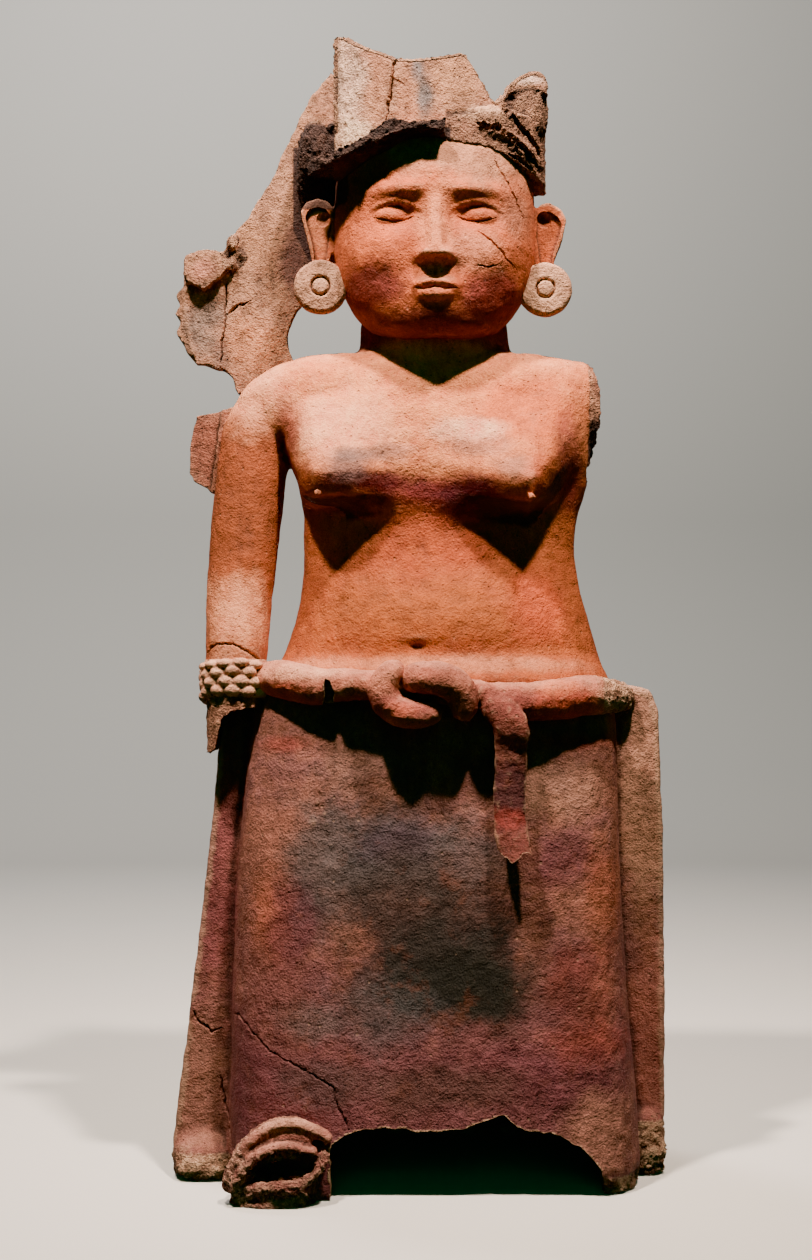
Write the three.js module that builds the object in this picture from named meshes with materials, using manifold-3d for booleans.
// A standing clay figure of a woman, 1.3 m tall: hollow, open under the skirt, with one arm and
// parts of the headdress broken away. Millimetres, Z up, the front faces -Y, base at Z = 0.
import * as THREE from "three";
import { mergeVertices } from "three/addons/utils/BufferGeometryUtils.js";
import Module from "manifold-3d";

const wasm = await Module();
wasm.setup();

// Driving dimensions.
const MIDLINE = 18; // the head and the navel stand a little to the right of the base's centre
const WALL = 20;
const BELT_RADIUS = 17.5;
const DISC_RADIUS = 29;
const DISC_THICKNESS = 16;
const SHEET_BACK = 50;
const SHEET_THICKNESS = 15;
const FLANGE_FRONT = -15;
const FLANGE_THICKNESS = 25;
const EYE_LINE = 1083;
const EYE_SPACING = 46;
const MOUTH_LINE = 999;

// Cross-sections from the floor up: height, left, right, front and back limits.
const SKIRT = [
  [0, -216, 250, -140, 182],
  [60, -215, 249, -138, 181],
  [130, -214, 243, -135, 176],
  [205, -213, 236, -131, 168],
  [290, -209, 231, -126, 157],
  [375, -203, 228, -120, 144],
  [440, -190, 227, -115, 131],
  [500, -175, 226, -109, 117],
  [533, -170, 224, -104, 108],
  [552, -160, 214, -92, 95],
];
const TORSO = [
  [520, -168, 216, -84, 92],
  [562, -171, 217, -88, 92],
  [585, -162, 211, -92, 90],
  [612, -149, 202, -94, 86],
  [640, -140, 194, -90, 81],
  [672, -135, 186, -83, 75],
  [703, -133, 181, -77, 71],
  [730, -133, 181, -75, 69],
  [752, -133, 184, -75, 69],
  [772, -136, 190, -76, 70],
  [792, -141, 196, -77, 71],
  [815, -150, 202, -78, 72],
  [840, -160, 206, -78, 73],
  [868, -170, 207, -75, 72],
  [897, -168, 204, -69, 69],
  [922, -150, 188, -60, 62],
  [940, -112, 150, -48, 52],
];
const SHOULDERS = [
  [-214, 862, 900, -24, 28],
  [-204, 842, 920, -36, 40],
  [-182, 830, 934, -47, 52],
  [-140, 824, 940, -58, 62],
  [-70, 820, 945, -66, 66],
  [20, 820, 948, -69, 68],
  [110, 820, 944, -65, 66],
  [168, 822, 937, -56, 60],
  [197, 826, 931, -48, 52],
  [211, 832, 924, -42, 46],
];
const ARM = [
  [480, -242, -178, -86, -22],
  [527, -243, -176, -88, -18],
  [565, -244, -174, -85, -13],
  [609, -244, -172, -80, -5],
  [655, -245, -169, -70, 9],
  [702, -243, -164, -62, 20],
  [772, -238, -158, -54, 34],
  [825, -233, -150, -50, 42],
  [865, -226, -140, -48, 46],
  [893, -216, -142, -42, 44],
  [908, -204, -150, -32, 36],
];
const NECK = [
  [925, -82, 118, -62, 60],
  [945, -70, 106, -58, 56],
  [975, -66, 102, -58, 54],
  [1010, -66, 102, -60, 54],
];
const HEAD = [
  [951, -18, 54, -86, 8],
  [958, -44, 80, -95, 26],
  [972, -63, 99, -101, 40],
  [992, -79, 115, -105, 50],
  [1018, -91, 127, -107, 57],
  [1048, -97.5, 133.5, -108, 61],
  [1080, -98.5, 134.5, -107, 64],
  [1110, -98, 134, -106, 64],
  [1140, -96, 132, -103, 62],
  [1166, -92, 128, -97, 58],
  [1188, -80, 116, -84, 50],
  [1202, -62, 96, -66, 38],
  [1210, -38, 72, -44, 22],
];

// Paths of the rolled clay strips: x, y, z.
const BELT_LEFT = [
  [-181, -34, 558], [-160, -76, 561], [-122, -105, 560], [-78, -119, 557], [-45, -127, 558],
  [-26, -139, 566], [8, -143, 567], [38, -141, 562], [52, -138, 548], [43, -136, 531],
];
const BELT_CURL = [
  [-36, -118, 558], [-47, -131, 549], [-40, -139, 535], [-18, -143, 527], [8, -142, 526], [29, -137, 532],
];
const BELT_RIGHT = [
  [44, -126, 548], [72, -125, 547], [110, -118, 545], [158, -104, 544], [198, -82, 545], [224, -58, 544],
];
const TIE = [
  [103, -128, 545], [101, -146, 530], [100, -152, 508], [99, -151, 455], [99, -147, 412], [104, -143, 370],
];
const SCAR = [
  [30, -102, 1180], [66, -98, 1176], [104, -80, 1167], [134, -44, 1158], [146, -6, 1158],
];

// Plan of the headdress wall, left to right, with the broken top edge above it.
const CROWN = [
  [-101, -46, 1305], [-86, -56, 1302], [-60, -70, 1284], [-26, -82, 1268], [12, -88, 1267],
  [54, -86, 1272], [70, -80, 1250], [86, -72, 1221], [97, -64, 1238], [113, -54, 1250],
  [130, -40, 1258], [143, -22, 1257], [148, -2, 1244], [149, 36, 1232],
];
const CROWN_FOOT = 1150;
const CROWN_THICKNESS = 16;

// The projecting ledge on the left half of the brow: x, y of its edge, underside, top.
const LEDGE = [
  [-143, -52, 1128, 1168], [-126, -84, 1130, 1166], [-98, -104, 1143, 1164],
  [-66, -116, 1152, 1173], [-30, -123, 1166, 1185], [30, -124, 1171, 1184],
];

const CLAY = new THREE.MeshStandardMaterial({ color: 0xa86a48, metalness: 0, roughness: 0.75 });

// A geometry as a solid, its shared corners welded.
function solid(geometry) {
  const bare = geometry.clone();
  bare.deleteAttribute("normal");
  bare.deleteAttribute("uv");
  const welded = mergeVertices(bare, 1e-3);
  const mesh = new wasm.Mesh({
    numProp: 3,
    vertProperties: welded.attributes.position.array,
    triVerts: new Uint32Array(welded.index.array),
  });
  return new wasm.Manifold(mesh);
}

// Moves every corner of a geometry to where the rule sends it.
function reshape(geometry, rule) {
  const corners = geometry.attributes.position;
  const point = new THREE.Vector3();
  for (let i = 0; i < corners.count; i++) {
    point.fromBufferAttribute(corners, i);
    const moved = rule(point);
    corners.setXYZ(i, moved[0], moved[1], moved[2]);
  }
  return geometry;
}

// A sine or cosine pushed outwards: 1 keeps a circle, smaller values make a rounded box.
function squared(value, power) {
  return Math.sign(value) * Math.pow(Math.abs(value), power);
}

// An upright body through level cross-sections; swell(x, z) pushes its front forward.
function upright(stations, sides, power, swell = () => 0) {
  const steps = stations.length - 1;
  const tube = new THREE.CylinderGeometry(1, 1, steps, sides, steps);
  return reshape(tube, (p) => {
    const row = stations[Math.round(p.y + steps / 2)];
    const [z, left, right, front, back] = row;
    const reach = Math.min(1, Math.hypot(p.x, p.z));
    const across = squared(p.x, power);
    const ahead = squared(p.z, power);
    const x = (left + right) / 2 + across * (right - left) / 2;
    let y = (front + back) / 2 - ahead * (back - front) / 2;
    if (p.z > 0 && reach > 0.5) y -= swell(x, z) * Math.min(1, 1.6 * ahead);
    return [x, y, z];
  });
}

// A body lying along X through upright cross-sections.
function crosswise(stations, sides, power) {
  const steps = stations.length - 1;
  const tube = new THREE.CylinderGeometry(1, 1, steps, sides, steps);
  return reshape(tube, (p) => {
    const [x, bottom, top, front, back] = stations[Math.round(p.y + steps / 2)];
    const z = (bottom + top) / 2 - squared(p.x, power) * (top - bottom) / 2;
    const y = (front + back) / 2 - squared(p.z, power) * (back - front) / 2;
    return [x, y, z];
  });
}

// A strip of clay along a path: half its width across, half its thickness from front to back.
function strip(path, width, thickness, steps, sides, taper = () => 1) {
  const curve = new THREE.CatmullRomCurve3(path.map((p) => new THREE.Vector3(...p)));
  const tube = new THREE.CylinderGeometry(1, 1, steps, sides, steps);
  const outward = new THREE.Vector3();
  return reshape(tube, (p) => {
    const along = p.y / steps + 0.5;
    const centre = curve.getPoint(along);
    const tangent = curve.getTangent(along);
    const forward = outward.set(0.15 * Math.sign(centre.x), -1, 0).normalize();
    const side = new THREE.Vector3().crossVectors(tangent, forward).normalize();
    const face = new THREE.Vector3().crossVectors(side, tangent).normalize();
    centre.addScaledVector(side, p.x * width * taper(along));
    centre.addScaledVector(face, p.z * thickness * taper(along));
    return [centre.x, centre.y, centre.z];
  });
}

// A rounded lump: centre and half sizes.
function lump(centre, half, around = 10, down = 6) {
  const ball = new THREE.SphereGeometry(1, around, down);
  ball.rotateX(Math.PI / 2);
  ball.scale(...half);
  ball.translate(...centre);
  return solid(ball);
}

// An outline in the plane of X and Z, pushed from the front depth to the back depth.
function slab(outline, front, back) {
  const shape = new THREE.Shape(outline.map(([x, z]) => new THREE.Vector2(x, z)));
  const plate = new THREE.ExtrudeGeometry(shape, { depth: back - front, bevelEnabled: false });
  plate.rotateX(Math.PI / 2);
  plate.translate(0, back, 0);
  return solid(plate);
}

// The same cross-sections drawn in by the thickness of the wall.
function inset(stations, wall) {
  return stations.map(([z, left, right, front, back]) =>
    [z, left + wall, right - wall, front + wall, back - wall]);
}

function join(parts) {
  return parts.reduce((whole, part) => whole.add(part));
}

// The skirt: a flaring box with a flat strip standing out from each side.
function skirt() {
  const body = solid(upright(SKIRT, 28, 0.5));
  const left = [
    [-160, 0], [-283, 0], [-281, 31], [-262, 180], [-240, 365], [-228, 495], [-224, 550], [-150, 550],
  ];
  const right = [
    [180, 0], [286, 0], [286, 54], [283, 192], [283, 365], [280, 470], [277, 549], [243, 557], [180, 552],
  ];
  const back = FLANGE_FRONT + FLANGE_THICKNESS;
  return join([
    body,
    slab(left.reverse(), FLANGE_FRONT, back),
    slab(right.reverse(), FLANGE_FRONT, back),
    slab([[-279, 0], [-276, 34], [-232, 42], [-200, 0]], -42, 26),
    slab([[225, 0], [232, 48], [262, 64], [284, 40], [285, 0]], -38, 26),
  ]);
}

// The chest and belly, with low cone breasts and a rounded belly pushed out of the front.
function torso() {
  const breasts = [[-96, 792, 74], [106, 788, 74]];
  const swell = (x, z) => {
    const belly = 12 * Math.exp(-((x - MIDLINE) ** 2) / 6400 - ((z - 625) ** 2) / 3000);
    const cones = breasts.map(([cx, cz, reach]) =>
      36 * Math.max(0, 1 - Math.hypot((x - cx) / reach, (z - cz) / (z < cz ? 42 : 80))));
    return belly + cones[0] + cones[1];
  };
  const navel = lump([-1, -112, 601], [7, 14, 7], 8, 5);
  return solid(upright(TORSO, 30, 0.72, swell)).subtract(navel);
}

function shoulders() {
  return solid(crosswise(SHOULDERS, 16, 0.8));
}

// The hanging arm, its bracelet a band that swells into rows of beads.
function arm() {
  const beads = new THREE.CylinderGeometry(1, 1, 8, 28, 8);
  const band = reshape(beads, (p) => {
    const turn = Math.atan2(p.x, p.z);
    const row = Math.round(p.y + 4);
    const reach = Math.min(1, Math.hypot(p.x, p.z));
    const bead = row % 2 === 1 && Math.round(turn * 14 / Math.PI) % 2 === 0 ? 9 : 3;
    const z = 526 + 8.4 * row + 7 * reach * Math.cos(turn);
    const x = -208.5 + reach * (35 + bead) * Math.sin(turn);
    const y = -50 - reach * (36 + bead) * Math.cos(turn);
    return [x, y, z];
  });
  const broken = slab([[-270, 470], [-150, 470], [-150, 521], [-176, 527], [-196, 540], [-213, 532],
    [-227, 498], [-240, 486], [-270, 500]], -140, 40);
  const hollow = lump([-209, -52, 505], [22, 24, 62], 12, 8);
  return solid(upright(ARM, 12, 0.9)).add(solid(band)).subtract(broken).subtract(hollow);
}

function neckAndHead() {
  const parts = [
    solid(upright(NECK, 20, 0.95)),
    solid(upright(HEAD, 24, 0.85)),
    lump([MIDLINE, -94, 971], [27, 16, 19]),
  ];
  const nose = upright([
    [1018, MIDLINE - 15, MIDLINE + 15, -118, -96],
    [1025, MIDLINE - 19, MIDLINE + 19, -130, -96],
    [1034, MIDLINE - 16, MIDLINE + 16, -133, -96],
    [1052, MIDLINE - 10, MIDLINE + 10, -124, -96],
    [1078, MIDLINE - 9, MIDLINE + 9, -114, -94],
    [1094, MIDLINE - 12, MIDLINE + 12, -109, -94],
  ], 8, 1);
  parts.push(solid(nose));
  for (const side of [-1, 1]) {
    const eye = MIDLINE + side * EYE_SPACING;
    parts.push(lump([eye, -98, EYE_LINE], [24, 11, 10.5]));
    parts.push(lump([eye + side * 3, -98, EYE_LINE + 21], [29, 11, 6.5]));
  }
  parts.push(lump([MIDLINE, -104, MOUTH_LINE + 5], [25, 11, 5.5]));
  parts.push(lump([MIDLINE, -104, MOUTH_LINE - 5], [22, 11, 6.5]));
  return join(parts);
}

// An ear with its hollow, the lobe below it and the round disc that the lobe carries.
function ear(side) {
  const x = side < 0 ? -115 : 152;
  const disc = side < 0 ? [-113, -40, 1014] : [145, -40, 1012];
  const profile = [
    [0, 0], [DISC_RADIUS, 0], [DISC_RADIUS, DISC_THICKNESS - 3], [DISC_RADIUS - 4, DISC_THICKNESS],
    [13, DISC_THICKNESS], [10, DISC_THICKNESS - 4], [7, DISC_THICKNESS], [0, DISC_THICKNESS + 1],
  ];
  const wheel = new THREE.LatheGeometry(profile.map(([r, h]) => new THREE.Vector2(r, h)), 18);
  wheel.rotateX(Math.PI);
  wheel.translate(disc[0], disc[1] + DISC_THICKNESS / 2, disc[2]);
  const shell = lump([x, -8, 1084], [20, 24, 34], 12, 8);
  const hollow = lump([x + side * 3, -32, 1096], [9, 16, 15], 8, 5);
  const lobe = lump([disc[0] - side * 2, -24, 1034], [15, 18, 24], 8, 6);
  return join([shell.subtract(hollow), lobe, solid(wheel)]);
}

// The upright wall of the headdress, curved in plan, its top edge broken.
function crown() {
  const steps = CROWN.length - 1;
  const wall = new THREE.BoxGeometry(steps, 1, 3, steps, 1, 3);
  const bent = reshape(wall, (p) => {
    const [x, y, top] = CROWN[Math.round(p.x + steps / 2)];
    const away = new THREE.Vector2(x - MIDLINE, y - 40).normalize();
    const inward = p.y > 0 ? CROWN_THICKNESS : 0;
    const level = (p.z + 1.5) / 3;
    return [
      x - away.x * inward,
      y - away.y * inward,
      CROWN_FOOT + level * (top - CROWN_FOOT),
    ];
  });
  return solid(bent);
}

// The broken ledge over the left brow, and the rough strip that the rest of it left behind.
function brow() {
  const steps = LEDGE.length - 1;
  const shelf = new THREE.BoxGeometry(steps, 1, 1, steps, 1, 1);
  const bent = reshape(shelf, (p) => {
    const [x, y, under, over] = LEDGE[Math.round(p.x + steps / 2)];
    const inward = p.y > 0 ? 46 : 0;
    const away = new THREE.Vector2(x - MIDLINE, y - 10).normalize();
    return [x - away.x * inward, y - away.y * inward, p.z > 0 ? over : under];
  });
  const scar = strip(SCAR, 9, 9, 10, 8);
  const side = upright([
    [1126, -134, -84, -60, 44],
    [1156, -145, -80, -58, 46],
    [1190, -144, -80, -52, 46],
    [1208, -134, -80, -46, 46],
    [1215, -116, -84, -40, 46],
  ], 14, 0.7);
  return join([solid(bent), solid(scar), solid(side)]);
}

// The thin sheet behind the head and the left shoulder, with its toothed edge.
function sheet() {
  const outline = [[-152, 905], [-215, 905], [-224, 927], [-259, 939], [-281, 956]];
  for (let tooth = 0; tooth < 4; tooth++) {
    outline.push([-290, 972 + tooth * 20], [-284, 984 + tooth * 20]);
  }
  outline.push([-280, 1058], [-262, 1071], [-230, 1078], [-203, 1125], [-176, 1164], [-158, 1202]);
  outline.push([-131, 1258], [-105, 1290], [-60, 1268], [70, 1262], [118, 1236], [146, 1236]);
  outline.push([140, 1150], [100, 1060], [-60, 1040], [-124, 1030], [-142, 1008]);
  outline.push([-152, 989], [-157, 967], [-153, 946]);
  const front = SHEET_BACK - SHEET_THICKNESS;
  const main = slab(outline.reverse(), front, SHEET_BACK);
  const scrap = slab([[-215, 786], [-215, 881], [-249, 874], [-263, 867], [-269, 850], [-269, 809],
    [-256, 795], [-239, 786]], 16, 30);
  const knob = lump([-256, 32, 1050], [25, 12, 20], 10, 6);
  return join([main, scrap, knob]);
}

// The rolled belt, its two curls and the hanging end.
function belt() {
  const roll = BELT_RADIUS;
  const blunt = (t) => 0.62 + 0.38 * Math.min(1, Math.min(t, 1 - t) * 22);
  return join([
    solid(strip(BELT_LEFT, roll, roll, 18, 8, blunt)),
    solid(strip(BELT_CURL, roll - 2, roll - 2, 9, 8, blunt)),
    solid(strip(BELT_RIGHT, roll + 1, roll, 8, 8, blunt)),
    solid(strip(TIE, 17, 8, 8, 8, (t) => (t > 0.97 ? 0.55 : 1))),
  ]);
}

// The broken shell of the one foot that is left.
function foot() {
  const outer = lump([-150, -112, 10], [52, 72, 80], 12, 7);
  const mouth = lump([-142, -176, 36], [36, 60, 22], 10, 6);
  return outer.subtract(mouth);
}

// The hollow that runs from the open base up to the head.
function hollow() {
  const below = [[-12, ...SKIRT[0].slice(1)], ...SKIRT.slice(0, -1)];
  const belly = [[470, ...TORSO[0].slice(1)], ...TORSO.filter(([z], i) => z < 925 && i % 3 === 2)];
  return join([
    solid(upright(inset(below.filter((row, i) => i < 2 || i % 2 === 0), WALL), 16, 0.5)),
    solid(upright(inset(belly, WALL), 12, 0.75)),
    solid(upright(inset([[880, -80, 116, -60, 58], [1000, -66, 102, -58, 54]], WALL), 12, 1)),
    solid(upright(inset(HEAD.filter(([z], i) => z > 970 && z < 1195 && i % 2 === 0), WALL), 12, 0.9)),
  ]);
}

// The broken arch in the foot of the skirt's front.
function arch() {
  const edge = [[-97, 62], [-76, 67], [-53, 74], [-30, 80], [-3, 74], [49, 78], [74, 87], [95, 96],
    [111, 78], [145, 69], [170, 56], [186, 40], [196, -20], [-97, -20]];
  return slab(edge, -260, -60);
}

// Everything under the floor plane.
function ground() {
  const block = new THREE.BoxGeometry(900, 900, 200);
  block.translate(0, 0, -100);
  return solid(block);
}

function figure() {
  const stump = lump([218, -4, 848], [26, 22, 20], 10, 6);
  const outside = join([
    skirt(), torso(), shoulders(), arm(), neckAndHead(), ear(-1), ear(1), crown(), brow(), sheet(), belt(),
  ]);
  const whole = outside.subtract(arch()).add(foot());
  const opened = whole.subtract(hollow()).subtract(stump).subtract(ground());
  const data = opened.getMesh();
  const geometry = new THREE.BufferGeometry();
  geometry.setAttribute("position", new THREE.BufferAttribute(data.vertProperties, 3));
  geometry.setIndex(new THREE.BufferAttribute(data.triVerts, 1));
  geometry.computeVertexNormals();
  const mesh = new THREE.Mesh(geometry, CLAY);
  mesh.name = "figure";
  return mesh;
}

const root = new THREE.Group();
root.add(figure());
export default root;
